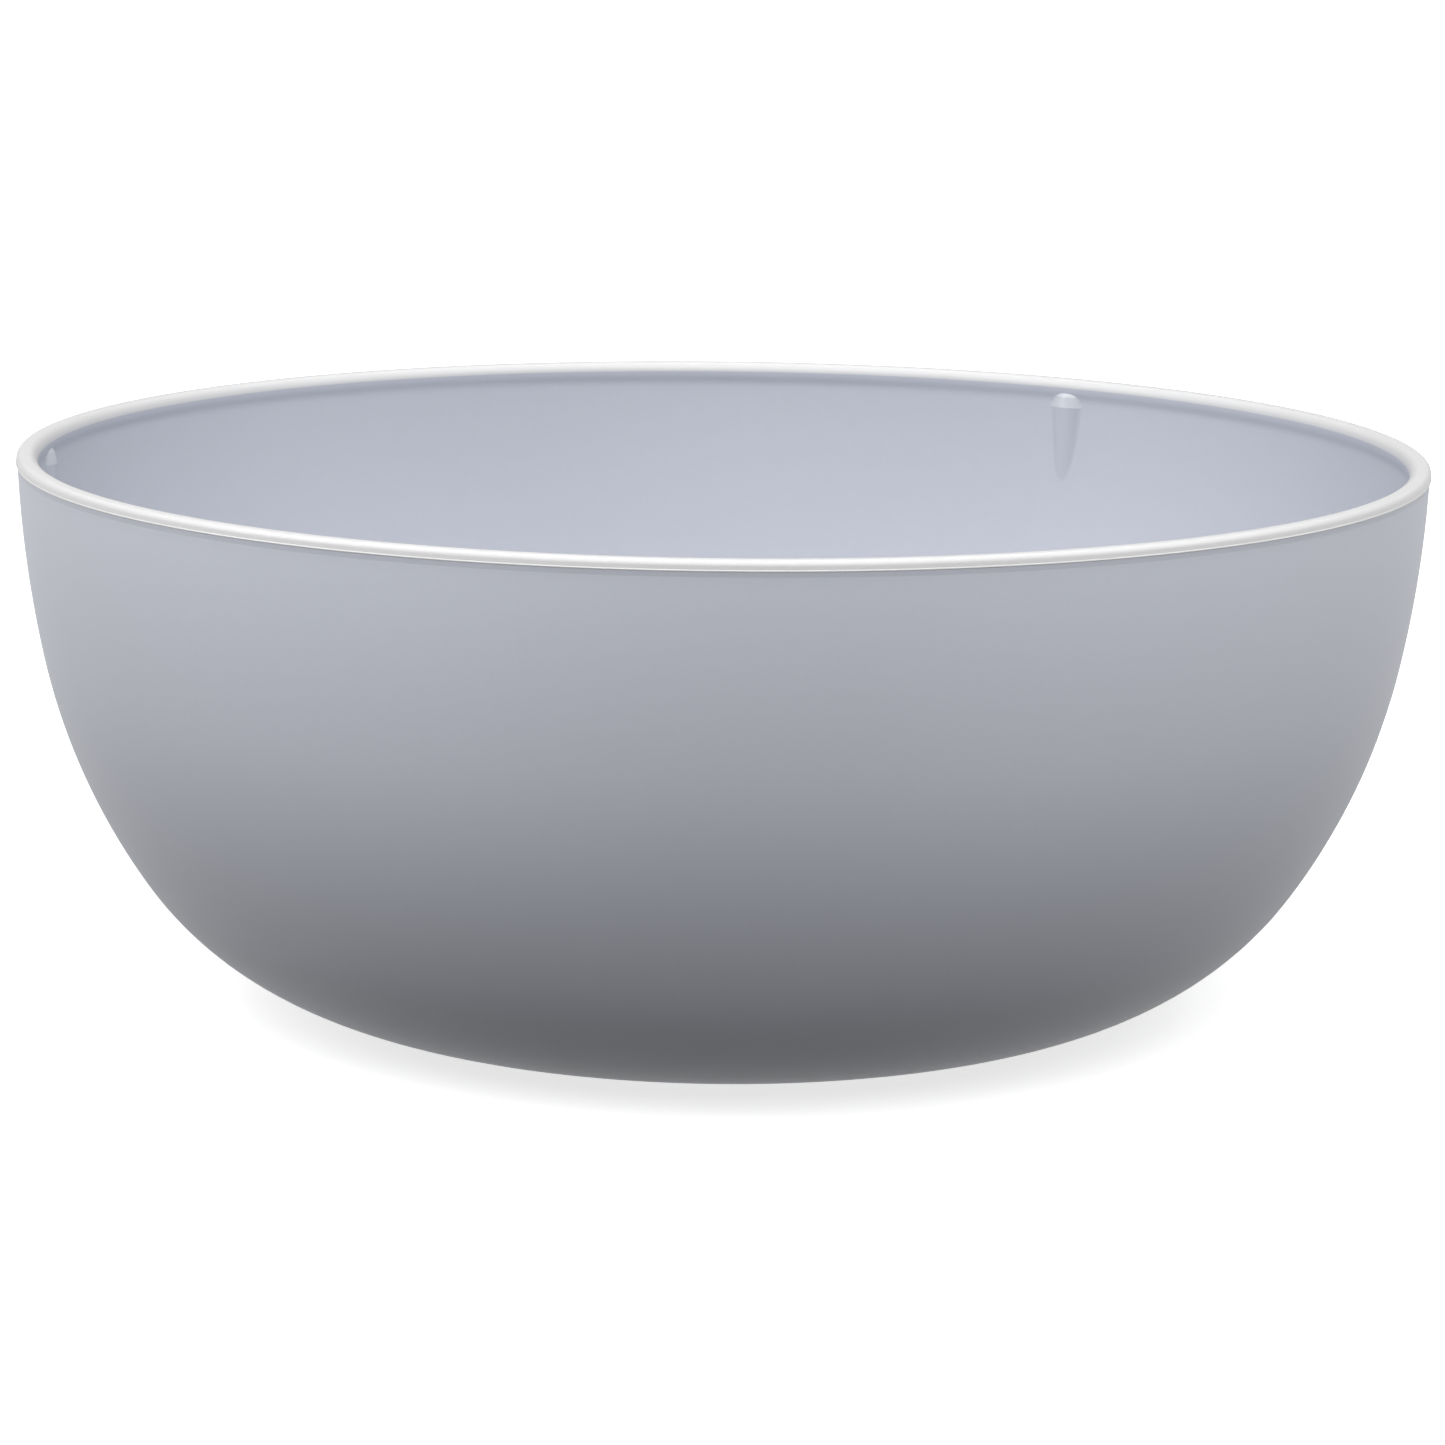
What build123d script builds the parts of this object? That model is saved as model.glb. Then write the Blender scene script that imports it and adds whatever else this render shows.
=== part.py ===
from build123d import *
import os
from math import acos, cos, degrees, pi, radians, sin, sqrt

# Nestable serving bowl for chips, salad and dip: one moulding in matte polypropylene.
# The wall is a chain of tangent arcs from a flat foot up to an almost upright side.
# Round the mouth runs a thickened, rounded rim with the parting line of the mould on
# its outside, and under the rim stand three upright pegs that keep nested bowls from
# jamming together. Nothing on it moves.
#
# Frame: millimetres, +Z up, origin in the resting plane on the bowl's axis. Angles
# round the bowl are counted from +X towards +Y. Profiles are drawn as (radius, height).

# ---- Overall sizes ----
rim_radius = 140.4           # outside of the rim, at the parting line
height = 112.0               # resting plane to the top of the rim

# ---- Outside of the wall: the slope that each arc reaches, from the horizontal ----
toe_angle = 55.6             # the toe arc leaves the resting plane level and ends here
belly_angle = 78.3
side_angle = 87.72           # short of upright by the draft of the mould
belly_radius = 122.5
side_radius = 225.0

# ---- Wall, floor and underside ----
wall_thickness = 3.3
floor_thickness = 3.3        # between the inside and the recess underneath
recess_depth = 1.2           # hollow of the underside, inside the foot ring
foot_ring_width = 6.0        # level land that touches the table
gate_radius = 5.0            # dimple in the middle of the underside, round the gate
gate_depth = 0.7
gate_stub_radius = 1.6       # what is left of the gate, inside its dimple
gate_stub_height = 0.4

# ---- Rim ----
rim_thickness = 4.3
rim_height = 3.1             # from the top down to the end of the wall's side arc
rim_overhang = 0.36          # how far the parting line stands proud of that end
parting_drop = 1.87          # parting line, below the top of the rim
parting_width = 0.30
parting_proud = 0.12         # how far it stands proud of the rim's own band
rim_outer_rounding = 1.1
rim_inner_rounding = 1.9
rim_blend_height = 3.6       # under the rounding, the inside eases out to the wall

# ---- Nesting pegs, inside under the rim ----
peg_count = 3
peg_first_angle = 56.15
peg_radius = 5.0             # round nose, standing upright
peg_shoulder_drop = 6.2      # shoulder, below the top of the rim
peg_length = 16.3            # from the shoulder down to where the nose dies into the wall
peg_cap_height = 3.2         # cap above the shoulder
peg_cap_taper = 12.0         # slope of the cap, from upright
peg_cap_rounding = 1.0       # round the top of the cap

# ---- Outside profile ----
toe = radians(toe_angle)
belly = radians(belly_angle)
side = radians(side_angle)
wall_top = height - rim_height
wall_top_radius = rim_radius - rim_overhang
side_run = side_radius * (sin(side) - sin(belly))
side_rise = side_radius * (cos(belly) - cos(side))
belly_run = belly_radius * (sin(belly) - sin(toe))
belly_rise = belly_radius * (cos(toe) - cos(belly))
# The toe arc takes up the height that the two arcs above it leave.
toe_radius = (wall_top - side_rise - belly_rise) / (1 - cos(toe))
foot_radius = wall_top_radius - side_run - belly_run - toe_radius * sin(toe)

# ---- Inside profile, one wall in from the outside above the toe ----
floor_top = recess_depth + floor_thickness
inner_belly_radius = belly_radius - wall_thickness
inner_side_radius = side_radius - wall_thickness
toe_end_height = toe_radius * (1 - cos(toe)) + wall_thickness * cos(toe)
inner_toe_radius = (toe_end_height - floor_top) / (1 - cos(toe))
toe_end_radius = foot_radius + (toe_radius - wall_thickness) * sin(toe)
floor_radius = toe_end_radius - inner_toe_radius * sin(toe)
side_centre_radius = wall_top_radius - side_radius * sin(side)
side_centre_height = wall_top + side_radius * cos(side)


def inside_radius(z):
    """Radius of the inside of the wall at height z, on its side arc."""
    return side_centre_radius + sqrt(inner_side_radius**2 - (side_centre_height - z) ** 2)


def inside_slope(z):
    """Slope of the inside of the wall at height z, in degrees from the horizontal."""
    return degrees(acos((side_centre_height - z) / inner_side_radius))


# ---- Rim and pegs ----
rim_band_radius = rim_radius - parting_proud
rim_inner_radius = rim_radius - rim_thickness
parting_height = height - parting_drop
rim_inner_edge = height - rim_inner_rounding
blend_bottom = rim_inner_edge - rim_blend_height
blend_pull = rim_blend_height / 2

peg_shoulder = height - peg_shoulder_drop
peg_tip = peg_shoulder - peg_length
peg_axis_radius = inside_radius(peg_tip) + peg_radius
half_share = 180 / peg_count  # a peg stands in the middle of its share of the turn


# ---- Peg: mostly buried in the wall, so that only its nose shows ----
with BuildPart() as peg:
    with BuildSketch(Plane.XY.offset(peg_tip - peg_radius)) as peg_plan:
        Circle(peg_radius)
    extrude(amount=peg_length + peg_radius)
    with BuildSketch(Plane.XY.offset(peg_shoulder)) as cap_plan:
        Circle(peg_radius)
    extrude(amount=peg_cap_height, taper=peg_cap_taper)
    fillet(peg.faces().sort_by(Axis.Z)[-1].edges(), peg_cap_rounding)


# ---- Core: one peg's share of the space inside the bowl, with a pocket for the peg ----
with BuildPart() as core:
    with BuildSketch(Plane.XZ) as core_section:
        with BuildLine() as core_outline:
            floor = Line((0, floor_top), (floor_radius, floor_top))
            inner_toe = JernArc(floor @ 1, (1, 0), inner_toe_radius, toe_angle)
            inner_belly = JernArc(
                inner_toe @ 1, inner_toe % 1, inner_belly_radius, belly_angle - toe_angle
            )
            inner_side = JernArc(
                inner_belly @ 1,
                inner_belly % 1,
                inner_side_radius,
                inside_slope(blend_bottom) - belly_angle,
            )
            ease = Bezier(
                inner_side @ 1,
                inner_side @ 1 + (inner_side % 1) * blend_pull,
                Vector(rim_inner_radius, rim_inner_edge - blend_pull),
                Vector(rim_inner_radius, rim_inner_edge),
            )
            inner_edge = JernArc(ease @ 1, (0, 1), rim_inner_rounding, -90)
            clear_of_rim = height + rim_height
            Polyline(
                inner_edge @ 1,
                ((inner_edge @ 1).X, clear_of_rim),
                (0, clear_of_rim),
                (0, floor_top),
            )
        make_face()
    revolve(axis=Axis.Z, revolution_arc=2 * half_share)
    with PolarLocations(peg_axis_radius, 1, start_angle=half_share):
        add(peg.part, mode=Mode.SUBTRACT)


# ---- Bowl: the outside turned solid, less one core for each peg ----
with BuildPart() as bowl:
    with BuildSketch(Plane.XZ) as bowl_section:
        with BuildLine() as bowl_outline:
            gate_top = recess_depth + gate_depth
            recess_radius = foot_radius - foot_ring_width - recess_depth
            underside = Polyline(
                (0, gate_top - gate_stub_height),
                (gate_stub_radius, gate_top - gate_stub_height),
                (gate_stub_radius, gate_top),
                (gate_radius, gate_top),
                (gate_radius, recess_depth),
                (recess_radius, recess_depth),
                (foot_radius - foot_ring_width, 0),
                (foot_radius, 0),
            )
            outer_toe = JernArc(underside @ 1, (1, 0), toe_radius, toe_angle)
            outer_belly = JernArc(
                outer_toe @ 1, outer_toe % 1, belly_radius, belly_angle - toe_angle
            )
            outer_side = JernArc(
                outer_belly @ 1, outer_belly % 1, side_radius, side_angle - belly_angle
            )
            flare = Line(
                outer_side @ 1, (rim_band_radius, parting_height - parting_width / 2)
            )
            parting = ThreePointArc(
                flare @ 1,
                (rim_radius, parting_height),
                (rim_band_radius, parting_height + parting_width / 2),
            )
            upper_band = Line(parting @ 1, (rim_band_radius, height - rim_outer_rounding))
            outer_edge = JernArc(upper_band @ 1, (0, 1), rim_outer_rounding, 90)
            Polyline(
                outer_edge @ 1,
                (0, height),
                (0, gate_top - gate_stub_height),
            )
        make_face()
    revolve(axis=Axis.Z)
    with PolarLocations(0, peg_count, start_angle=peg_first_angle - half_share):
        add(core.part, mode=Mode.SUBTRACT, clean=False)

bowl.part.label = "bowl"
os.makedirs("parts", exist_ok=True)
export_step(bowl.part, "parts/bowl.step")

print("toe radius", round(toe_radius, 2), "foot radius", round(foot_radius, 2))
print("peg nose at radius", round(peg_axis_radius - peg_radius, 2))
print("inside at the shoulder", round(inside_radius(peg_shoulder), 2))
above_the_brim = pi * (rim_inner_radius + rim_inner_rounding) ** 2 * (clear_of_rim - height)
held = core.part.volume * peg_count - above_the_brim
print("held to the brim, litres", round(held / 1e6, 2))
print("volume", round(bowl.part.volume), "solids", len(bowl.part.solids()))
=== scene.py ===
"""Nestable serving bowl: turned body with nesting pegs, moulded finishes with painted highlights on
the rim and the peg caps, and a plain studio.
"""

import logging
from dataclasses import dataclass, field
from enum import Enum
from math import acos, atan2, cos, dist, pi, radians, sin, sqrt, tan
from typing import Any, Iterable

import bpy
from mathutils import Matrix, Vector


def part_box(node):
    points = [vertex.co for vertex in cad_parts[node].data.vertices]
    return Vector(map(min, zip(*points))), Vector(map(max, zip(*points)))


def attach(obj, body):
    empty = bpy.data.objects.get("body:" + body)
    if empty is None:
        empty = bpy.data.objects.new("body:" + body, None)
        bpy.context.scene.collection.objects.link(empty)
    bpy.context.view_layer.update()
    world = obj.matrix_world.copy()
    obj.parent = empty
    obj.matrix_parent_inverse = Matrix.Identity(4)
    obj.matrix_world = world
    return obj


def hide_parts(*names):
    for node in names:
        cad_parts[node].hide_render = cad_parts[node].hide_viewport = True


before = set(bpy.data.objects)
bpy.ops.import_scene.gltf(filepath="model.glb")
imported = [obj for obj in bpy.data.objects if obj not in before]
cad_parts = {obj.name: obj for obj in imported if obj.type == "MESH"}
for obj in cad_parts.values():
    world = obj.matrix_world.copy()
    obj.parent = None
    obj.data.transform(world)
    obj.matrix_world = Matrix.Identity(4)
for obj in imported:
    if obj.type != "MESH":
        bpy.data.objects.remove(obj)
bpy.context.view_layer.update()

MM = 0.001
QUARTER = pi / 2
CORNER_GUARD = 0.06        # mm from a rounding to the point that keeps the run beside it flat
SAME_POINT = 1e-4          # mm, within which two points of a section are one
WELD = 1e-6                # m, within which vertices are merged at the seam and on the axis
PEG_REACH = 0.2            # radians to either side of a peg's middle that the peg can reach
EVEN_SPACING = 0.085       # share of the columns' spacing that isn't crowded towards a peg
PLASTIC_IOR = 1.49
MOTTLE_ROUGHNESS = 0.08    # how much rougher the mottle is at its highest than at its lowest
MARK_ROUGHNESS = 0.12      # how much rougher a rub mark is
MARK_SHADE = 0.05          # how much lighter a rub mark is
log = logging.getLogger("serving_bowl")

Point = tuple[float, float]

# Each finish with the span of zones that it takes, as the mean over a face's corners. A
# finish overrides the ones before it. A face on the border of the rim or the underside is
# wall, and a face with half its corners in a cap has the cap's finish.
FINISH_SPANS = (
    ("Wall Finish", -0.5, 10.5),
    ("Underside Finish", -0.5, 0.01),
    ("Rim Finish and Painted Highlight", 1.51, 2.4),
    ("Cap Finish and Painted Highlight", 5.4, 10.5),
)


class Zone(Enum):
    """Stretches of the moulding that the mould finishes differently. The lighter colours of the rim
    and the caps are painted highlight.

    The cap's value lies far from the rest, so that no mix of cap and wall over the corners
    of a face falls in the rim's span.
    """

    UNDERSIDE = 0
    WALL = 1
    RIM = 2
    CAP = 10


class TreeKind(Enum):
    """Kinds of node tree that are built here."""

    GEOMETRY = "GeometryNodeTree"
    SHADER = "ShaderNodeTree"


# ---------------------------------------------------------------------------------------
# Node trees
# ---------------------------------------------------------------------------------------


class Canvas:
    """Adds nodes to one tree and joins them."""

    def __init__(self, tree: bpy.types.NodeTree) -> None:
        """Keeps the tree that the nodes go into."""
        self.tree = tree

    def node(self, kind: str, sockets: dict[str, Any] | None = None, **settings: Any) -> Any:
        """Adds one node.

        Args:
            kind: Blender's name for the node's type.
            sockets: input name to a constant or to another node's output.
            settings: properties of the node itself.

        Returns:
            The new node.
        """
        made = self.tree.nodes.new(kind)
        for key, value in settings.items():
            setattr(made, key, value)
        for key, value in (sockets or {}).items():
            self.put(made.inputs[key], value)
        return made

    def put(self, socket: Any, value: Any) -> None:
        """Links an output to a socket, or writes a constant on it.

        Args:
            socket: the input to feed.
            value: another node's output, or a constant.
        """
        if isinstance(value, bpy.types.NodeSocket):
            self.tree.links.new(value, socket)
        else:
            socket.default_value = value

    def math(self, operation: str, *values: Any) -> Any:
        """Adds a Math node.

        Args:
            operation: the node's operation, such as MULTIPLY.
            values: constants or outputs, in the order of the node's inputs.

        Returns:
            The node's result.
        """
        made = self.node("ShaderNodeMath", operation=operation)
        for socket, value in zip(made.inputs, values):
            self.put(socket, value)
        return made.outputs[0]

    def vector(self, operation: str, *values: Any) -> Any:
        """Adds a Vector Math node.

        Args:
            operation: the node's operation, such as SCALE.
            values: constants or outputs, in the order of the node's inputs.

        Returns:
            The node's vector result.
        """
        made = self.node("ShaderNodeVectorMath", operation=operation)
        for socket, value in zip(made.inputs, values):
            self.put(socket, value)
        return made.outputs[0]

    def span(self, value: Any, low: float, high: float, out_low: float, out_high: float) -> Any:
        """Maps a value from one range to another, smoothly and clamped.

        Args:
            value: what is mapped.
            low: value that gives out_low.
            high: value that gives out_high.
            out_low: result at low.
            out_high: result at high.

        Returns:
            The mapped value.
        """
        made = self.node("ShaderNodeMapRange", interpolation_type="SMOOTHSTEP")
        for name, number in zip(
            ("Value", "From Min", "From Max", "To Min", "To Max"),
            (value, low, high, out_low, out_high),
        ):
            self.put(made.inputs[name], number)
        return made.outputs["Result"]

    def compare(self, operation: str, value: Any, bound: float) -> Any:
        """Compares a value with a bound and returns the truth value."""
        sockets = {"A": value, "B": bound}
        return self.node("FunctionNodeCompare", sockets, operation=operation).outputs[0]


def new_group(name: str, kind: TreeKind, inputs: dict[str, Any], outputs: dict[str, str]) -> Canvas:
    """Makes a node group with named sockets.

    Args:
        name: the group's name.
        kind: geometry or shader.
        inputs: input name to (socket type, default) or to a socket type alone.
        outputs: output name to socket type.

    Returns:
        A canvas on the new group.
    """
    tree = bpy.data.node_groups.new(name, kind.value)
    for label, sort in inputs.items():
        socket_type, default = sort if isinstance(sort, tuple) else (sort, None)
        socket = tree.interface.new_socket(label, in_out="INPUT", socket_type=socket_type)
        if default is not None:
            socket.default_value = default
    for label, socket_type in outputs.items():
        tree.interface.new_socket(label, in_out="OUTPUT", socket_type=socket_type)
    return Canvas(tree)


# ---------------------------------------------------------------------------------------
# Finishes
# ---------------------------------------------------------------------------------------


class Effects:
    """Shader groups that the finishes share. Each is built once and read in every finish."""

    def __init__(self) -> None:
        """Builds the groups."""
        self.grain = self._grain()
        self.flow = self._flow()
        self.scuffs = self._scuffs()

    @staticmethod
    def _grain() -> bpy.types.NodeTree:
        """Fine sparked grain of the mould: pits and pebbles, as a height and a mottle.

        Returns:
            The group.
        """
        pit_rate, coarse_rate = 1.7, 0.3
        pebble_height, pit_height = 0.7, 0.3
        pebble_mottle, coarse_mottle = 0.6, 0.4
        c = new_group(
            "moulded_grain",
            TreeKind.SHADER,
            {"Grain Size": ("NodeSocketFloat", 0.0004), "Depth": ("NodeSocketFloat", 1.0)},
            {"Height": "NodeSocketFloat", "Mottle": "NodeSocketFloat"},
        )
        given = c.node("NodeGroupInput")
        place = c.node("ShaderNodeTexCoord").outputs["Object"]
        per_metre = c.math("DIVIDE", 1.0, given.outputs["Grain Size"])
        pebbles = c.node(
            "ShaderNodeTexNoise",
            {"Vector": place, "Scale": per_metre, "Detail": 2.0, "Roughness": 0.6},
        ).outputs["Fac"]
        pits = c.node(
            "ShaderNodeTexVoronoi",
            {"Vector": place, "Scale": c.math("MULTIPLY", per_metre, pit_rate)},
        ).outputs["Distance"]
        height = c.math(
            "ADD",
            c.math("MULTIPLY", pebbles, pebble_height),
            c.math("MULTIPLY", pits, pit_height),
        )
        coarse = c.node(
            "ShaderNodeTexNoise",
            {"Vector": place, "Scale": c.math("MULTIPLY", per_metre, coarse_rate), "Detail": 1.0},
        ).outputs["Fac"]
        mottle = c.math(
            "ADD",
            c.math("MULTIPLY", pebbles, pebble_mottle),
            c.math("MULTIPLY", coarse, coarse_mottle),
        )
        c.node(
            "NodeGroupOutput",
            {"Height": c.math("MULTIPLY", height, given.outputs["Depth"]), "Mottle": mottle},
        )
        return c.tree

    @staticmethod
    def _flow() -> bpy.types.NodeTree:
        """Faint clouding of the plastic, drawn out upwards as the melt flowed from the gate.

        Returns:
            The group.
        """
        drawn_out = (1.0, 1.0, 0.35)
        c = new_group(
            "melt_flow",
            TreeKind.SHADER,
            {"Cloud Size": ("NodeSocketFloat", 0.03)},
            {"Cloud": "NodeSocketFloat"},
        )
        given = c.node("NodeGroupInput")
        place = c.node("ShaderNodeTexCoord").outputs["Object"]
        drawn = c.node("ShaderNodeMapping", {"Vector": place, "Scale": drawn_out})
        cloud = c.node(
            "ShaderNodeTexNoise",
            {
                "Vector": drawn.outputs["Vector"],
                "Scale": c.math("DIVIDE", 1.0, given.outputs["Cloud Size"]),
                "Detail": 3.0,
                "Roughness": 0.5,
            },
        ).outputs["Fac"]
        c.node("NodeGroupOutput", {"Cloud": cloud})
        return c.tree

    @staticmethod
    def _scuffs() -> bpy.types.NodeTree:
        """Hair-fine rub marks, as a mask that is 1 on a mark.

        Returns:
            The group.
        """
        slant, thinned = (0.3, 0.2, 0.9), (1.0, 18.0, 6.0)
        mark_starts, mark_full = 0.62, 0.72
        patch_starts, patch_full, patch_rate = 0.5, 0.65, 0.4
        c = new_group(
            "rub_marks",
            TreeKind.SHADER,
            {"Mark Length": ("NodeSocketFloat", 0.012), "Amount": ("NodeSocketFloat", 0.5)},
            {"Mask": "NodeSocketFloat"},
        )
        given = c.node("NodeGroupInput")
        place = c.node("ShaderNodeTexCoord").outputs["Object"]
        per_metre = c.math("DIVIDE", 1.0, given.outputs["Mark Length"])
        turned = c.node(
            "ShaderNodeMapping", {"Vector": place, "Rotation": slant, "Scale": thinned}
        )
        lines = c.node(
            "ShaderNodeTexNoise",
            {"Vector": turned.outputs["Vector"], "Scale": per_metre, "Detail": 2.0},
        ).outputs["Fac"]
        where = c.node(
            "ShaderNodeTexNoise",
            {"Vector": place, "Scale": c.math("MULTIPLY", per_metre, patch_rate), "Detail": 1.0},
        ).outputs["Fac"]
        marks = c.math(
            "MULTIPLY",
            c.span(lines, mark_starts, mark_full, 0.0, 1.0),
            c.span(where, patch_starts, patch_full, 0.0, 1.0),
        )
        c.node("NodeGroupOutput", {"Mask": c.math("MULTIPLY", marks, given.outputs["Amount"])})
        return c.tree


@dataclass(frozen=True)
class PlasticFinish:
    """One finish that the mould leaves on the plastic. For the rim and the caps, the lighter base
    colour is painted highlight.

    The grain's size and depth are in metres. The mottle, cloud and scuffs are how strongly
    each shows, where 0 is not at all.
    """

    name: str
    base: tuple[float, float, float]
    roughness: float
    grain_size: float
    grain_depth: float
    mottle: float
    cloud: float
    scuffs: float

    def material(self, effects: Effects) -> bpy.types.Material:
        """Builds the finish as a material.

        Args:
            effects: the shared shader groups.

        Returns:
            The material.
        """
        made = bpy.data.materials.new(self.name)
        made.use_nodes = True
        made.node_tree.nodes.clear()
        c = Canvas(made.node_tree)
        grain = c.node("ShaderNodeGroup", node_tree=effects.grain)
        grain.inputs["Grain Size"].default_value = self.grain_size
        flow = c.node("ShaderNodeGroup", node_tree=effects.flow)
        marks = c.node("ShaderNodeGroup", node_tree=effects.scuffs)
        marks.inputs["Amount"].default_value = self.scuffs

        shade = c.math(
            "ADD",
            c.math("MULTIPLY_ADD", grain.outputs["Mottle"], self.mottle, 1.0 - self.mottle / 2),
            c.math("MULTIPLY_ADD", flow.outputs["Cloud"], self.cloud, -self.cloud / 2),
        )
        shade = c.math("MULTIPLY_ADD", marks.outputs["Mask"], MARK_SHADE, shade)
        colour = c.node("ShaderNodeRGB")
        colour.outputs[0].default_value = (*self.base, 1.0)
        tinted = c.vector("SCALE", colour.outputs[0])
        scaled = tinted.node
        c.put(scaled.inputs["Scale"], shade)
        rough = c.math(
            "ADD",
            c.math(
                "MULTIPLY_ADD",
                grain.outputs["Mottle"],
                MOTTLE_ROUGHNESS,
                self.roughness - MOTTLE_ROUGHNESS / 2,
            ),
            c.math("MULTIPLY", marks.outputs["Mask"], MARK_ROUGHNESS),
        )
        bump = c.node(
            "ShaderNodeBump",
            {"Height": grain.outputs["Height"], "Strength": 1.0, "Distance": self.grain_depth},
        )
        shader = c.node(
            "ShaderNodeBsdfPrincipled",
            {
                "Base Color": scaled.outputs["Vector"],
                "Roughness": rough,
                "IOR": PLASTIC_IOR,
                "Normal": bump.outputs["Normal"],
            },
        )
        c.node("ShaderNodeOutputMaterial", {"Surface": shader.outputs["BSDF"]})
        return made


BLUE_GREY = (0.437, 0.455, 0.508)
# Pale neutral grey of the rim: painted highlight. The rim is the same blue-grey plastic, lit more
# strongly.
RIM_PAINTED_HIGHLIGHT_GREY = (0.565, 0.563, 0.565)
# Lighter blue-grey of the peg caps: painted highlight, the wall's plastic made lighter where the
# caps face up into the light.
CAP_PAINTED_HIGHLIGHT_BLUE_GREY = (0.50, 0.515, 0.55)

FINISHES = {
    Zone.WALL: PlasticFinish(
        "grained_plastic", BLUE_GREY, roughness=0.5,
        grain_size=0.00035, grain_depth=0.00003, mottle=0.05, cloud=0.02, scuffs=0.0,
    ),
    # Rim material: its pale base colour is painted highlight, while its roughness and rub marks are
    # its own.
    Zone.RIM: PlasticFinish(
        "satin_plastic_painted_highlight", RIM_PAINTED_HIGHLIGHT_GREY, roughness=0.46,
        grain_size=0.0005, grain_depth=0.000004, mottle=0.02, cloud=0.02, scuffs=0.3,
    ),
    # Cap material: its lighter base colour is painted highlight, while its lower roughness is its
    # own.
    Zone.CAP: PlasticFinish(
        "cap_plastic_painted_highlight", CAP_PAINTED_HIGHLIGHT_BLUE_GREY, roughness=0.32,
        grain_size=0.0005, grain_depth=0.000004, mottle=0.02, cloud=0.02, scuffs=0.0,
    ),
    Zone.UNDERSIDE: PlasticFinish(
        "foot_plastic", BLUE_GREY, roughness=0.38,
        grain_size=0.0004, grain_depth=0.00001, mottle=0.03, cloud=0.02, scuffs=1.0,
    ),
}


# ---------------------------------------------------------------------------------------
# The bowl
# ---------------------------------------------------------------------------------------


@dataclass
class Outline:
    """Half section of the moulding as rows of points, from the axis below to the axis above."""

    points: list[Point] = field(default_factory=list)
    zones: list[Zone] = field(default_factory=list)
    inside: list[bool] = field(default_factory=list)

    def add(self, points: Iterable[Point], zone: Zone, inside: bool = False) -> None:
        """Adds points after the last one, and leaves out a first point that repeats it.

        Args:
            points: (radius, height) pairs in millimetres.
            zone: finish of this stretch.
            inside: True on the inside of the bowl, where the pegs stand.
        """
        for point in points:
            if self.points and dist(point, self.points[-1]) < SAME_POINT:
                continue
            self.points.append(point)
            self.zones.append(zone)
            self.inside.append(inside)


def line(start: Point, end: Point, steps: int) -> list[Point]:
    """Points along a straight run, both ends included."""
    return [
        (start[0] + (end[0] - start[0]) * k / steps, start[1] + (end[1] - start[1]) * k / steps)
        for k in range(steps + 1)
    ]


def arc(centre: Point, radius: float, first: float, last: float, steps: int) -> list[Point]:
    """Points along an arc.

    Args:
        centre: the arc's centre.
        radius: its radius.
        first: angle of the first point, in radians from the +radius direction.
        last: angle of the last point.
        steps: number of chords.

    Returns:
        The points, both ends included.
    """
    turns = [first + (last - first) * k / steps for k in range(steps + 1)]
    return [(centre[0] + radius * cos(a), centre[1] + radius * sin(a)) for a in turns]


def corner(before: Point, at: Point, after: Point, radius: float, steps: int) -> list[Point]:
    """Points of the arc that rounds a corner between two straight runs.

    Args:
        before: a point on the run that comes in.
        at: the sharp corner.
        after: a point on the run that leaves.
        radius: radius of the rounding.
        steps: number of chords.

    Returns:
        The arc's points, from one run to the other, with a point just before it and just
        after it that keeps the shading of the runs flat.
    """
    inward = Vector(before) - Vector(at)
    outward = Vector(after) - Vector(at)
    inward.normalize()
    outward.normalize()
    half = acos(max(-1.0, min(1.0, inward.dot(outward)))) / 2
    centre = Vector(at) + (inward + outward).normalized() * (radius / sin(half))
    first = Vector(at) + inward * (radius / tan(half)) - centre
    last = Vector(at) + outward * (radius / tan(half)) - centre
    start = atan2(first.y, first.x)
    turn = atan2(first.x * last.y - first.y * last.x, first.dot(last))
    setback = radius / tan(half) + CORNER_GUARD
    return [
        tuple(Vector(at) + inward * setback),
        *arc(tuple(centre), radius, start, start + turn, steps),
        tuple(Vector(at) + outward * setback),
    ]


@dataclass
class Pegs:
    """Upright round-nosed pegs under the rim, which hold up a nested bowl. Millimetres."""

    count: int = 3
    first_angle: float = 56.15
    radius: float = 5.0
    shoulder_drop: float = 6.2
    length: float = 16.3
    cap_height: float = 3.2
    cap_taper: float = 12.0
    cap_rounding: float = 1.0
    fillet: float = 0.12


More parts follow.
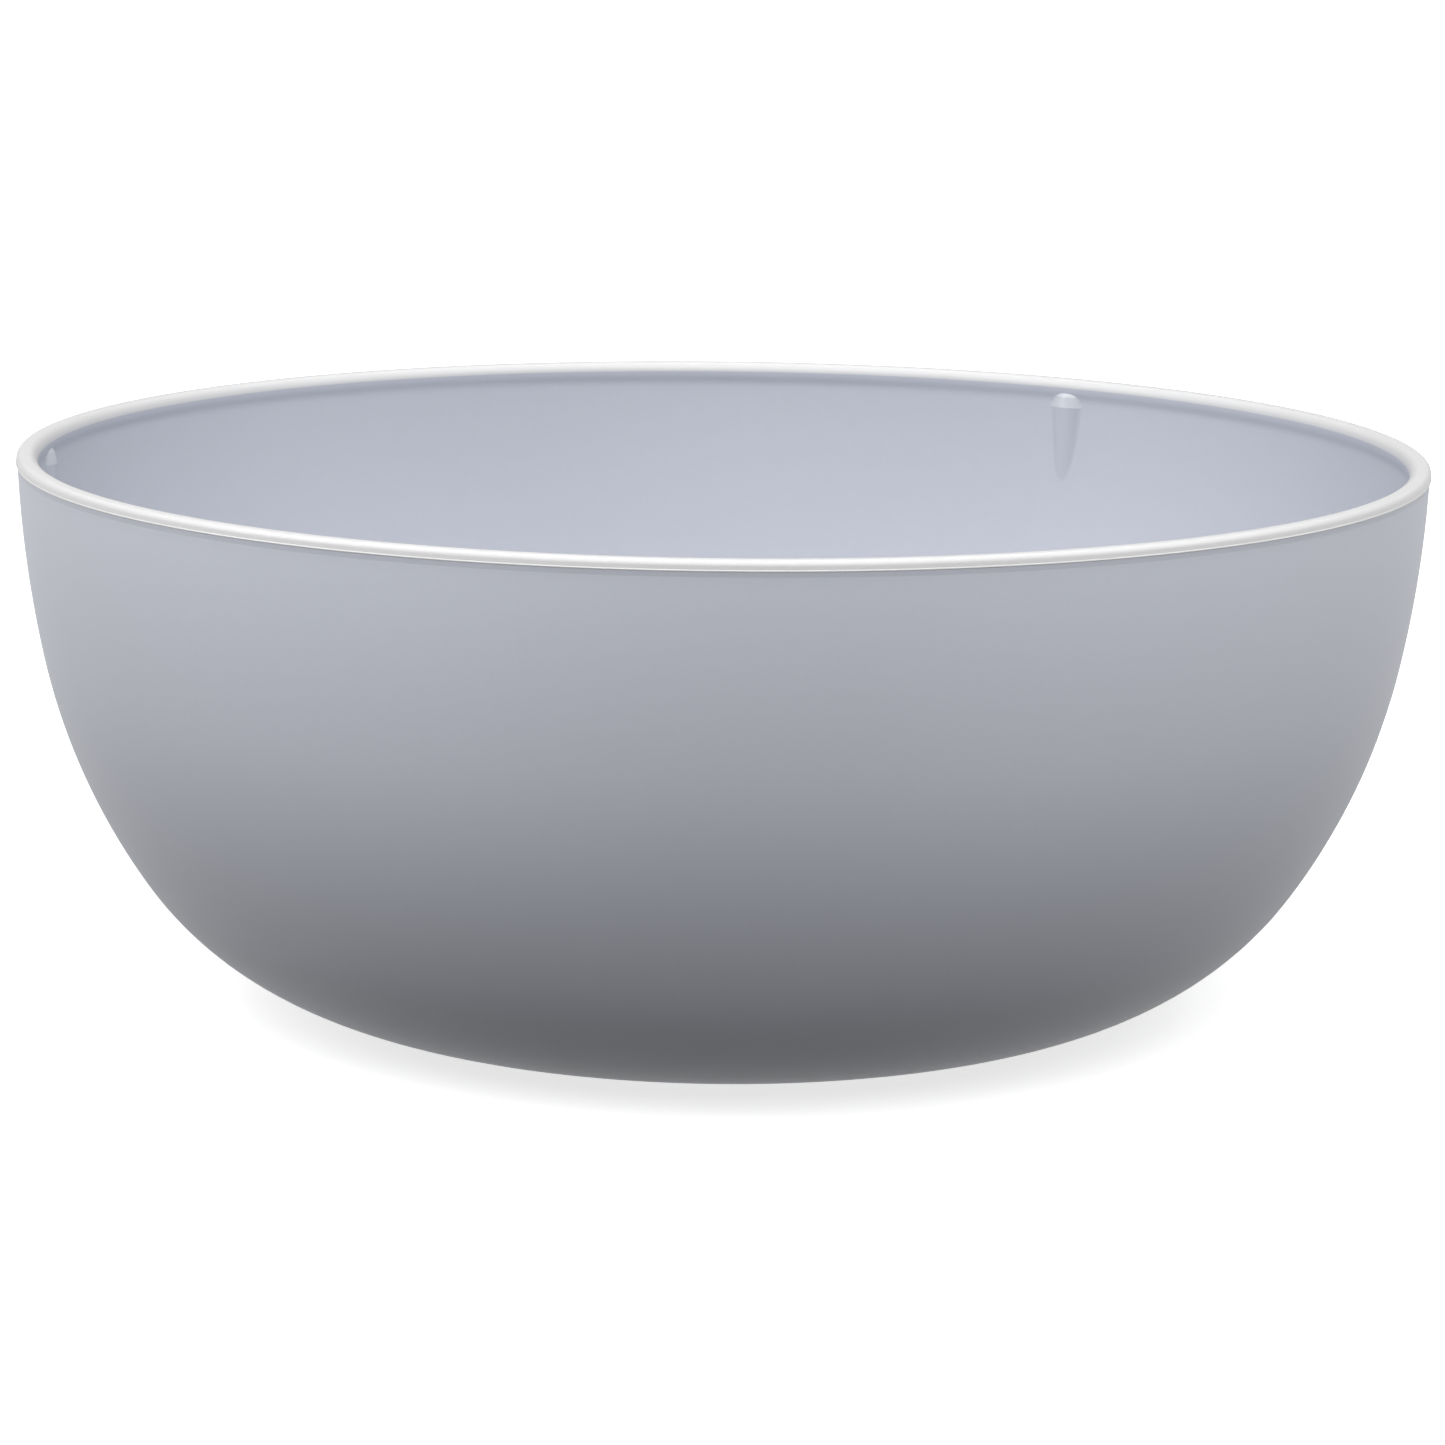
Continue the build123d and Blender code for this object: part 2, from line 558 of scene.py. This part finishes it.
@dataclass
class BowlBody:
    """The bowl itself, one moulding. Sizes in millimetres, slopes in degrees.

    The roundings of the underside only soften its edges. flare_clearance is how far below
    the rim the side arc ends, to leave room for the flare's rounding, and columns is the
    number of steps round the bowl.
    """

    rim_radius: float
    height: float
    toe_angle: float = 55.6
    belly_angle: float = 78.3
    side_angle: float = 87.72
    belly_radius: float = 122.5
    side_radius: float = 225.0
    wall: float = 3.3
    floor: float = 3.3
    recess_depth: float = 1.2
    foot_ring_width: float = 6.0
    gate_radius: float = 5.0
    gate_depth: float = 0.7
    gate_stub_radius: float = 1.6
    gate_stub_height: float = 0.4
    gate_stub_rounding: float = 0.12
    gate_rounding: float = 0.25
    recess_rounding: float = 0.6
    foot_rounding: float = 0.5
    underside_margin: float = 1.5
    rim_thickness: float = 4.3
    rim_height: float = 3.1
    rim_overhang: float = 0.36
    parting_drop: float = 1.87
    parting_width: float = 0.30
    parting_proud: float = 0.12
    flare_clearance: float = 0.3
    flare_rounding: float = 1.0
    rim_outer_rounding: float = 1.1
    rim_inner_rounding: float = 1.9
    rim_blend_height: float = 3.6
    columns: int = 342
    pegs: Pegs = field(default_factory=Pegs)

    def __post_init__(self) -> None:
        """Works out the radii and heights that follow from the sizes."""
        toe, belly, side = (radians(a) for a in (self.toe_angle, self.belly_angle, self.side_angle))
        self.wall_top = self.height - self.rim_height
        self.wall_top_radius = self.rim_radius - self.rim_overhang
        side_rise = self.side_radius * (cos(belly) - cos(side))
        belly_rise = self.belly_radius * (cos(toe) - cos(belly))
        self.toe_radius = (self.wall_top - side_rise - belly_rise) / (1 - cos(toe))
        self.foot_radius = (
            self.wall_top_radius
            - self.side_radius * (sin(side) - sin(belly))
            - self.belly_radius * (sin(belly) - sin(toe))
            - self.toe_radius * sin(toe)
        )
        self.side_centre = (
            self.wall_top_radius - self.side_radius * sin(side),
            self.wall_top + self.side_radius * cos(side),
        )
        self.belly_centre = (
            self.foot_radius + (self.toe_radius - self.belly_radius) * sin(toe),
            self.toe_radius * (1 - cos(toe)) + self.belly_radius * cos(toe),
        )
        self.floor_top = self.recess_depth + self.floor
        toe_end = self.toe_radius * (1 - cos(toe)) + self.wall * cos(toe)
        self.inner_toe_radius = (toe_end - self.floor_top) / (1 - cos(toe))
        toe_end_radius = self.foot_radius + (self.toe_radius - self.wall) * sin(toe)
        self.floor_radius = toe_end_radius - self.inner_toe_radius * sin(toe)

    def inside_radius(self, z: float) -> float:
        """Radius of the inside of the wall at a height on its side arc."""
        inner = self.side_radius - self.wall
        return self.side_centre[0] + sqrt(inner**2 - (self.side_centre[1] - z) ** 2)

    def outline(self) -> Outline:
        """Draws the half section.

        Returns:
            The outline, from the axis under the floor, out and up round the rim, and back
            down the inside to the axis on the floor.
        """
        made = Outline()
        self._underside(made)
        self._outside(made)
        self._rim(made)
        self._inside(made)
        return made

    def _underside(self, made: Outline) -> None:
        """Adds the gate's dimple, the recess and the foot ring.

        Args:
            made: the outline so far.
        """
        ceiling = self.recess_depth + self.gate_depth
        stub_end = ceiling - self.gate_stub_height
        land = self.foot_radius - self.foot_ring_width
        recess = land - self.recess_depth
        stops = [
            (0.0, stub_end, 0.0),
            (self.gate_stub_radius, stub_end, self.gate_stub_rounding),
            (self.gate_stub_radius, ceiling, self.gate_stub_rounding),
            (self.gate_radius, ceiling, self.gate_rounding),
            (self.gate_radius, self.recess_depth, self.gate_rounding),
            (recess, self.recess_depth, self.recess_rounding),
            (land, 0.0, self.foot_rounding),
            (self.foot_radius, 0.0, 0.0),
        ]
        made.add([(0.0, stub_end)], Zone.UNDERSIDE)
        for before, stop, after in zip(stops[:-2], stops[1:-1], stops[2:]):
            rounded = corner(before[:2], stop[:2], after[:2], radius=stop[2], steps=4)
            made.add(rounded, Zone.UNDERSIDE)
        made.add([(self.foot_radius - self.underside_margin, 0.0)], Zone.UNDERSIDE)

    def _outside(self, made: Outline) -> None:
        """Adds the toe, belly and side arcs of the outside.

        Args:
            made: the outline so far.
        """
        toe, belly = radians(self.toe_angle), radians(self.belly_angle)
        short_of_rim = self.side_centre[1] - self.wall_top + self.flare_clearance
        side = acos(short_of_rim / self.side_radius)
        toe_centre = (self.foot_radius, self.toe_radius)
        for centre, radius, first, last, steps in (
            (toe_centre, self.toe_radius, 0.0, toe, 26),
            (self.belly_centre, self.belly_radius, toe, belly, 18),
            (self.side_centre, self.side_radius, belly, side, 14),
        ):
            made.add(arc(centre, radius, first - QUARTER, last - QUARTER, steps), Zone.WALL)

    def _rim(self, made: Outline) -> None:
        """Adds the rim: the flare out of the wall, the parting line and the rounded top.

        Args:
            made: the outline so far.
        """
        band = self.rim_radius - self.parting_proud
        parting = self.height - self.parting_drop
        half = self.parting_width / 2
        rounding = self.rim_outer_rounding
        wall_end = (self.wall_top_radius, self.wall_top)
        below = (self.wall_top_radius, self.wall_top - self.flare_rounding)
        flare_end = Vector((band, parting - half))
        guard = flare_end - (flare_end - Vector(wall_end)).normalized() * CORNER_GUARD
        flare = corner(below, wall_end, tuple(flare_end), self.flare_rounding, steps=3)
        made.add([*flare, tuple(guard)], Zone.WALL)

        parting_steps = 8
        turns = [pi * k / parting_steps for k in range(1, parting_steps)]
        line_round = [(band + self.parting_proud * sin(a), parting - half * cos(a)) for a in turns]
        made.add([tuple(flare_end), *line_round], Zone.RIM)
        straight = line(
            (band, parting + half + CORNER_GUARD),
            (band, self.height - rounding - CORNER_GUARD),
            steps=1,
        )
        made.add([(band, parting + half), *straight], Zone.RIM)
        outer_centre = (band - rounding, self.height - rounding)
        made.add(arc(outer_centre, rounding, 0.0, QUARTER, steps=12), Zone.RIM)
        rounding = self.rim_inner_rounding
        inner = self.rim_radius - self.rim_thickness
        inner_centre = (inner + rounding, self.height - rounding)
        made.add(arc(inner_centre, rounding, QUARTER, pi, steps=12), Zone.RIM, inside=True)

    def _ease(self) -> list[Point]:
        """Draws the ease from the rim's inner rounding out to the inside of the wall.

        Returns:
            Its points, from the rounding down to the wall.
        """
        inner = self.rim_radius - self.rim_thickness
        edge = self.height - self.rim_inner_rounding
        low = edge - self.rim_blend_height
        slope = acos((self.side_centre[1] - low) / (self.side_radius - self.wall))
        pull = self.rim_blend_height / 2
        start, end = Vector((inner, edge)), Vector((self.inside_radius(low), low))
        first = start - Vector((0, pull))
        second = end + Vector((cos(slope), sin(slope))) * pull
        steps = 30
        ease = []
        for k in range(steps + 1):
            t = k / steps
            ease.append(
                tuple(
                    start * (1 - t) ** 3
                    + first * (3 * t * (1 - t) ** 2)
                    + second * (3 * t * t * (1 - t))
                    + end * t**3
                )
            )
        return ease

    def _inside(self, made: Outline) -> None:
        """Adds the ease under the rim, the wall's inside, its toe and the floor.

        Args:
            made: the outline so far.
        """
        made.add(self._ease(), Zone.WALL, inside=True)

        low = self.height - self.rim_inner_rounding - self.rim_blend_height
        shoulder = self.height - self.pegs.shoulder_drop
        tip = shoulder - self.pegs.length
        crisp, past_tip = 0.03, 1.0
        upper_rows, peg_rows = 6, 46
        drop = shoulder - tip + past_tip
        heights = [low - (low - shoulder) * k / upper_rows for k in range(1, upper_rows)]
        heights += [shoulder + crisp, shoulder, shoulder - crisp]
        heights += [shoulder - drop * k / peg_rows for k in range(1, peg_rows + 1)]
        made.add([(self.inside_radius(z), z) for z in heights], Zone.WALL, inside=True)

        toe, belly = radians(self.toe_angle), radians(self.belly_angle)
        side_radius = self.side_radius - self.wall
        side = acos((self.side_centre[1] - heights[-1]) / side_radius)
        toe_centre = (self.floor_radius, self.floor_top + self.inner_toe_radius)
        for centre, radius, first, last, steps in (
            (self.side_centre, side_radius, side, belly, 6),
            (self.belly_centre, self.belly_radius - self.wall, belly, toe, 16),
            (toe_centre, self.inner_toe_radius, toe, 0.0, 24),
        ):
            run = arc(centre, radius, first - QUARTER, last - QUARTER, steps)
            made.add(run, Zone.WALL, inside=True)
        floor = line((self.floor_radius, self.floor_top), (0.0, self.floor_top), steps=8)
        made.add(floor, Zone.WALL, inside=True)

    def section_object(self) -> bpy.types.Object:
        """Makes the outline a mesh of edges, with the zone and the side of each row.

        Returns:
            The mesh's object.
        """
        drawn = self.outline()
        mesh = bpy.data.meshes.new("bowl_section")
        rows = [(r * MM, 0.0, z * MM) for r, z in drawn.points]
        mesh.from_pydata(rows, [(k, k + 1) for k in range(len(rows) - 1)], [])
        for name, values in (
            ("zone", [float(z.value) for z in drawn.zones]),
            ("inside", [float(i) for i in drawn.inside]),
        ):
            mesh.attributes.new(name, "FLOAT", "POINT").data.foreach_set("value", values)
        section = bpy.data.objects.new("bowl_section", mesh)
        bpy.context.scene.collection.objects.link(section)
        return section

    def build(self, finishes: dict[Zone, bpy.types.Material]) -> bpy.types.Object:
        """Turns the section into the bowl and dresses it.

        Args:
            finishes: the material of each zone.

        Returns:
            The bowl, a plain mesh.
        """
        section = self.section_object()
        tree = turning_tree()
        holder = bpy.data.objects.new("turning", bpy.data.meshes.new("turning"))
        bpy.context.scene.collection.objects.link(holder)
        modifier = holder.modifiers.new("turning", "NODES")
        modifier.node_group = tree
        shoulder = self.height - self.pegs.shoulder_drop
        nose = self.inside_radius(shoulder - self.pegs.length)
        given = {
            "Section": section,
            "Rows": len(section.data.vertices),
            "Columns per Peg": self.columns // self.pegs.count,
            "Pegs": self.pegs.count,
            "First Angle": radians(self.pegs.first_angle),
            "Peg Axis Radius": (nose + self.pegs.radius) * MM,
            "Peg Radius": self.pegs.radius * MM,
            "Shoulder": shoulder * MM,
            "Cap Top": (shoulder + self.pegs.cap_height) * MM,
            "Cap Slope": tan(radians(self.pegs.cap_taper)),
            "Cap Rounding": self.pegs.cap_rounding * MM,
            "Fillet": self.pegs.fillet * MM,
            "Wall Finish": finishes[Zone.WALL],
            "Rim Finish and Painted Highlight": finishes[Zone.RIM],
            "Underside Finish": finishes[Zone.UNDERSIDE],
            "Cap Finish and Painted Highlight": finishes[Zone.CAP],
        }
        for item in tree.interface.items_tree:
            if item.item_type == "SOCKET" and item.in_out == "INPUT":
                modifier[item.identifier] = given[item.name]
        graph = bpy.context.evaluated_depsgraph_get()
        mesh = bpy.data.meshes.new_from_object(holder.evaluated_get(graph), depsgraph=graph)
        mesh.name = "serving_bowl"
        for helper in (holder, section):
            bpy.data.objects.remove(helper)
        bowl = bpy.data.objects.new("serving_bowl", mesh)
        bpy.context.scene.collection.objects.link(bowl)
        return bowl


def turning_tree() -> bpy.types.NodeTree:
    """Geometry nodes that turn a section into a closed bowl with pegs on its inside.

    Columns gather at the pegs, so that the pegs' round noses are smooth. A peg is the
    wall drawn in to the peg's own circle, with a small fillet where the two meet.

    Returns:
        The node tree.
    """
    number, whole = "NodeSocketFloat", "NodeSocketInt"
    c = new_group(
        "turned_bowl",
        TreeKind.GEOMETRY,
        {
            "Section": "NodeSocketObject",
            "Rows": whole,
            "Columns per Peg": whole,
            "Pegs": whole,
            "First Angle": number,
            "Peg Axis Radius": number,
            "Peg Radius": number,
            "Shoulder": number,
            "Cap Top": number,
            "Cap Slope": number,
            "Cap Rounding": number,
            "Fillet": number,
            "Wall Finish": "NodeSocketMaterial",
            "Rim Finish and Painted Highlight": "NodeSocketMaterial",
            "Underside Finish": "NodeSocketMaterial",
            "Cap Finish and Painted Highlight": "NodeSocketMaterial",
        },
        {"Geometry": "NodeSocketGeometry"},
    )
    given = c.node("NodeGroupInput").outputs
    section = c.node("GeometryNodeObjectInfo", {"Object": given["Section"]}).outputs["Geometry"]

    # A flat grid with a column for each step round the bowl and a row for each point.
    columns = c.math("MULTIPLY", given["Columns per Peg"], given["Pegs"])
    last_row = c.math("SUBTRACT", given["Rows"], 1.0)
    grid = c.node(
        "GeometryNodeMeshGrid",
        {
            "Size X": columns,
            "Size Y": last_row,
            "Vertices X": c.math("ADD", columns, 1.0),
            "Vertices Y": given["Rows"],
        },
    ).outputs["Mesh"]
    here = c.node("GeometryNodeInputPosition").outputs[0]
    spot = c.node("ShaderNodeSeparateXYZ", {"Vector": here})
    column = c.math("ROUND", c.math("MULTIPLY_ADD", columns, 0.5, spot.outputs["X"]))
    row = c.math("ROUND", c.math("MULTIPLY_ADD", last_row, 0.5, spot.outputs["Y"]))

    def sampled(value: Any, kind: str) -> Any:
        """Reads a value of the section at this row."""
        sockets = {"Geometry": section, "Value": value, "Index": row}
        sample = c.node("GeometryNodeSampleIndex", data_type=kind, domain="POINT")
        for name, feed in sockets.items():
            c.put(sample.inputs[name], feed)
        return sample.outputs["Value"]

    def named(name: str) -> Any:
        """Reads a named attribute."""
        read = c.node("GeometryNodeInputNamedAttribute", {"Name": name}, data_type="FLOAT")
        return read.outputs[0]

    place = sampled(c.node("GeometryNodeInputPosition").outputs[0], "FLOAT_VECTOR")
    place = c.node("ShaderNodeSeparateXYZ", {"Vector": place})
    radius, height = place.outputs["X"], place.outputs["Z"]
    inside = sampled(named("inside"), "FLOAT")
    zone = sampled(named("zone"), "FLOAT")

    # Angle of the column: -1 to 1 across a peg's sector, crowded towards the middle.
    turn = c.math("DIVIDE", column, given["Columns per Peg"])
    sector = c.math("FLOOR", c.math("ADD", turn, 0.5))
    across = c.math("MULTIPLY", c.math("SUBTRACT", turn, sector), 2.0)
    half_sector = c.math("DIVIDE", pi, given["Pegs"])
    cubed = c.math("MULTIPLY", across, c.math("MULTIPLY", across, across))
    evenly = c.math("MULTIPLY", across, EVEN_SPACING)
    bent = c.math("MULTIPLY_ADD", cubed, 1.0 - EVEN_SPACING, evenly)
    from_peg = c.math("MULTIPLY", bent, half_sector)
    whole_sector = c.math("MULTIPLY", half_sector, 2.0)
    peg_angle = c.math("MULTIPLY_ADD", sector, whole_sector, given["First Angle"])
    angle = c.math("ADD", from_peg, peg_angle)

    # Where a ray from the axis meets the peg's circle, which shrinks in the cap.
    above = c.math("MAXIMUM", c.math("SUBTRACT", height, given["Shoulder"]), 0.0)
    sloped = c.math("SUBTRACT", given["Peg Radius"], c.math("MULTIPLY", above, given["Cap Slope"]))
    rounding = given["Cap Rounding"]
    into = c.math("SUBTRACT", height, c.math("SUBTRACT", given["Cap Top"], rounding))
    into = c.math("MINIMUM", c.math("MAXIMUM", into, 0.0), rounding)
    left = c.math("SUBTRACT", c.math("POWER", rounding, 2.0), c.math("POWER", into, 2.0))
    chord = c.math("SQRT", c.math("MAXIMUM", left, 0.0))
    round_nose = c.math("SUBTRACT", sloped, c.math("SUBTRACT", rounding, chord))
    aside = c.math("MULTIPLY", given["Peg Axis Radius"], c.math("SINE", from_peg))
    under = c.math("SUBTRACT", c.math("POWER", round_nose, 2.0), c.math("POWER", aside, 2.0))
    ahead = c.math("MULTIPLY", given["Peg Axis Radius"], c.math("COSINE", from_peg))
    peg = c.math("SUBTRACT", ahead, c.math("SQRT", c.math("MAXIMUM", under, 0.0)))
    near = c.math("GREATER_THAN", under, 0.0)
    for within in (
        c.math("GREATER_THAN", given["Cap Top"], height),
        c.math("GREATER_THAN", inside, 0.5),
        c.math("LESS_THAN", c.math("ABSOLUTE", from_peg), PEG_REACH),
    ):
        near = c.math("MULTIPLY", near, within)
    drawn_in = c.math("SMOOTH_MIN", radius, peg, given["Fillet"])
    drawn_in = c.math("MINIMUM", radius, drawn_in)
    final = c.math("MULTIPLY_ADD", near, c.math("SUBTRACT", drawn_in, radius), radius)
    position = c.node(
        "ShaderNodeCombineXYZ",
        {
            "X": c.math("MULTIPLY", final, c.math("COSINE", angle)),
            "Y": c.math("MULTIPLY", final, c.math("SINE", angle)),
            "Z": height,
        },
    )
    # Faces in a cap take the cap material, whose lighter base colour is painted highlight.
    cap = c.math("MULTIPLY", near, c.math("GREATER_THAN", height, given["Shoulder"]))
    cap = c.math("MULTIPLY", cap, c.math("LESS_THAN", peg, radius))
    finish_zone = c.math("MAXIMUM", zone, c.math("MULTIPLY", cap, float(Zone.CAP.value)))
    stored = c.node(
        "GeometryNodeStoreNamedAttribute",
        {"Geometry": grid, "Name": "zone", "Value": finish_zone},
        data_type="FLOAT",
        domain="POINT",
    ).outputs["Geometry"]
    turned = c.node(
        "GeometryNodeSetPosition", {"Geometry": stored, "Position": position.outputs["Vector"]}
    ).outputs["Geometry"]
    closed = c.node(
        "GeometryNodeMergeByDistance", {"Geometry": turned, "Distance": WELD}
    ).outputs["Geometry"]
    smooth = c.node("GeometryNodeSetShadeSmooth", {"Geometry": closed}).outputs["Geometry"]
    whole_bowl = c.node("GeometryNodeRealizeInstances", {"Geometry": smooth}).outputs["Geometry"]

    zone_here = named("zone")
    dressed = whole_bowl
    for finish, low, high in FINISH_SPANS:
        over = c.compare("GREATER_THAN", zone_here, low)
        below = c.compare("LESS_THAN", zone_here, high)
        chosen = c.node("FunctionNodeBooleanMath", {0: over, 1: below}, operation="AND").outputs[0]
        dressed = c.node(
            "GeometryNodeSetMaterial",
            {"Geometry": dressed, "Selection": chosen, "Material": given[finish]},
        ).outputs["Geometry"]
    c.node("NodeGroupOutput", {"Geometry": dressed})
    return c.tree


# ---------------------------------------------------------------------------------------
# Studio
# ---------------------------------------------------------------------------------------


@dataclass(frozen=True)
class SoftBox:
    """A rectangular soft light that is aimed at the bowl. Metres and watts."""

    name: str
    place: tuple[float, float, float]
    aim: tuple[float, float, float]
    size: tuple[float, float]
    power: float
    tint: tuple[float, float, float] = (1.0, 1.0, 1.0)

    def build(self) -> None:
        """Hangs the light."""
        lamp = bpy.data.lights.new(self.name, "AREA")
        lamp.shape = "RECTANGLE"
        lamp.size, lamp.size_y = self.size
        lamp.energy = self.power
        lamp.color = self.tint
        hung = bpy.data.objects.new(self.name, lamp)
        hung.location = self.place
        direction = Vector(self.aim) - Vector(self.place)
        hung.rotation_euler = direction.to_track_quat("-Z", "Y").to_euler()
        bpy.context.scene.collection.objects.link(hung)


@dataclass(frozen=True)
class Paper:
    """The studio's floor: a dark table round the bowl on a bright sweep, both shown as white. The
    table glows in reflections only, a painted reflection on the bowl's lower part.

    Strengths are light given off, where 1 is paper white. Distances are in metres.
    """

    reach: float = 30.0
    table_radius: float = 0.30
    sweep_radius: float = 0.50
    sweep_glow: float = 1.12
    # Glow of the table that only reflections see: a painted reflection on the bowl's lower part.
    table_reflection_glow: float = 1.04
    table_tone: float = 0.05
    shown_near: float = 0.74
    shown_far: float = 1.0
    shown_tone: float = 0.55
    fade_radius: float = 0.9

    def build(self) -> None:
        """Lays the floor, level with the foot ring."""
        r = self.reach
        mesh = bpy.data.meshes.new("studio_floor")
        mesh.from_pydata([(-r, -r, 0), (r, -r, 0), (r, r, 0), (-r, r, 0)], [], [(0, 1, 2, 3)])
        floor = bpy.data.objects.new("studio_floor", mesh)
        bpy.context.scene.collection.objects.link(floor)
        mesh.materials.append(self._material())

    def _material(self) -> bpy.types.Material:
        """Builds the floor's material: what the eye sees and what lights the bowl differ.

        Returns:
            The material.
        """
        paper = bpy.data.materials.new("studio_paper")
        paper.use_nodes = True
        paper.node_tree.nodes.clear()
        paper.cycles.emission_sampling = "NONE"
        c = Canvas(paper.node_tree)
        ray = c.node("ShaderNodeLightPath").outputs
        place = c.node("ShaderNodeTexCoord").outputs["Object"]
        away = c.node("ShaderNodeVectorMath", {0: place}, operation="LENGTH").outputs["Value"]
        swept = c.span(away, self.table_radius, self.sweep_radius, 0.0, 1.0)
        # Near the bowl the table glows for glossy rays only, painting a bright reflection on the
        # bowl's lower part.
        table = c.math("MULTIPLY", ray["Is Glossy Ray"], self.table_reflection_glow)
        glow = c.math("MULTIPLY_ADD", c.math("SUBTRACT", self.sweep_glow, table), swept, table)
        shown = c.span(away, self.table_radius, self.fade_radius, self.shown_near, self.shown_far)
        for_bowl = self._lit(c, glow, self.table_tone)
        for_eye = self._lit(c, shown, self.shown_tone)
        mix = c.node("ShaderNodeMixShader", {0: ray["Is Camera Ray"], 1: for_bowl, 2: for_eye})
        c.node("ShaderNodeOutputMaterial", {"Surface": mix.outputs[0]})
        return paper

    @staticmethod
    def _lit(c: Canvas, glow: Any, tone: float) -> Any:
        """Adds a matt grey tone to a glow.

        Args:
            c: canvas of the material.
            glow: strength of the light that it gives off.
            tone: how light the matt grey is, from 0 to 1.

        Returns:
            The shader.
        """
        bright = c.node("ShaderNodeEmission", {"Strength": glow}).outputs[0]
        matt = c.node("ShaderNodeBsdfDiffuse", {"Color": (tone, tone, tone, 1.0)}).outputs[0]
        return c.node("ShaderNodeAddShader", {0: bright, 1: matt}).outputs[0]


@dataclass
class Studio:
    """Pale floor, soft lights and the camera. Metres and degrees unless named otherwise."""

    rim_centre: Vector
    pitch: float = 11.177
    roll: float = 0.657
    distance: float = 1.0
    aside: float = 0.000295
    above: float = 0.05514
    lens_mm: float = 124.55
    sensor_mm: float = 36.0
    sky_seen: float = 1.0
    sky_light: float = 0.05

    def build(self) -> None:
        """Sets up the floor, the sky, the lights and the camera."""
        Paper().build()
        self._sky()
        heart = (0.0, 0.0, 0.05)
        for box in (
            SoftBox("overhead", (0.0, 0.0, 1.5), (0.0, 0.0, 0.0), (3.0, 3.0), power=36.0),
            SoftBox("front_high", (0.0, -0.9, 1.5), heart, (1.2, 0.9), power=3.8),
            SoftBox("front_low", (0.0, -1.5, 1.2), heart, (1.4, 0.8), power=16.0),
            SoftBox("left", (-1.5, -0.3, 1.1), heart, (0.8, 1.2), power=18.5),
            SoftBox("right", (1.5, -0.3, 1.1), heart, (0.8, 1.2), power=13.0),
        ):
            box.build()
        self._camera()

    def _sky(self) -> None:
        """Puts a white room round the studio that gives off little light."""
        world = bpy.data.worlds.new("studio_room")
        bpy.context.scene.world = world
        world.use_nodes = True
        world.node_tree.nodes.clear()
        c = Canvas(world.node_tree)
        ray = c.node("ShaderNodeLightPath").outputs["Is Camera Ray"]
        strength = c.math("MULTIPLY_ADD", ray, self.sky_seen - self.sky_light, self.sky_light)
        room = c.node("ShaderNodeBackground", {"Color": (1.0, 1.0, 1.0, 1.0), "Strength": strength})
        c.node("ShaderNodeOutputWorld", {"Surface": room.outputs[0]})

    def _camera(self) -> None:
        """Places the camera in front of the bowl, a little above the rim."""
        pitch, roll = radians(self.pitch), radians(self.roll)
        ahead = Vector((0.0, cos(pitch), -sin(pitch)))
        level_up = Vector((0.0, sin(pitch), cos(pitch)))
        level_right = Vector((1.0, 0.0, 0.0))
        right = level_right * cos(roll) + level_up * sin(roll)
        up = level_up * cos(roll) - level_right * sin(roll)
        data = bpy.data.cameras.new("front_view")
        data.lens = self.lens_mm
        data.sensor_width = self.sensor_mm
        data.clip_start, data.clip_end = 0.01, 100.0
        camera = bpy.data.objects.new("front_view", data)
        place = self.rim_centre - right * self.aside - up * self.above - ahead * self.distance
        turned = Matrix((right, up, -ahead)).transposed().to_4x4()
        camera.matrix_world = Matrix.Translation(place) @ turned
        bpy.context.scene.collection.objects.link(camera)
        bpy.context.scene.camera = camera


# ---------------------------------------------------------------------------------------


def main() -> None:
    """Builds the bowl and the studio."""
    logging.basicConfig(level=logging.INFO, format="%(name)s: %(message)s")
    low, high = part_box("bowl")
    effects = Effects()
    materials = {zone: finish.material(effects) for zone, finish in FINISHES.items()}
    half_width = min(high.x, high.y, -low.x, -low.y)
    body = BowlBody(rim_radius=half_width / MM, height=high.z / MM)
    bowl = body.build(materials)
    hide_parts("bowl")
    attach(bowl, "root")
    made = bowl.data
    log.info("%s: %d vertices, %d faces", bowl.name, len(made.vertices), len(made.polygons))

    bpy.context.scene.view_settings.view_transform = "Standard"
    Studio(rim_centre=Vector((0.0, 0.0, high.z))).build()


if __name__ == "__main__":
    main()
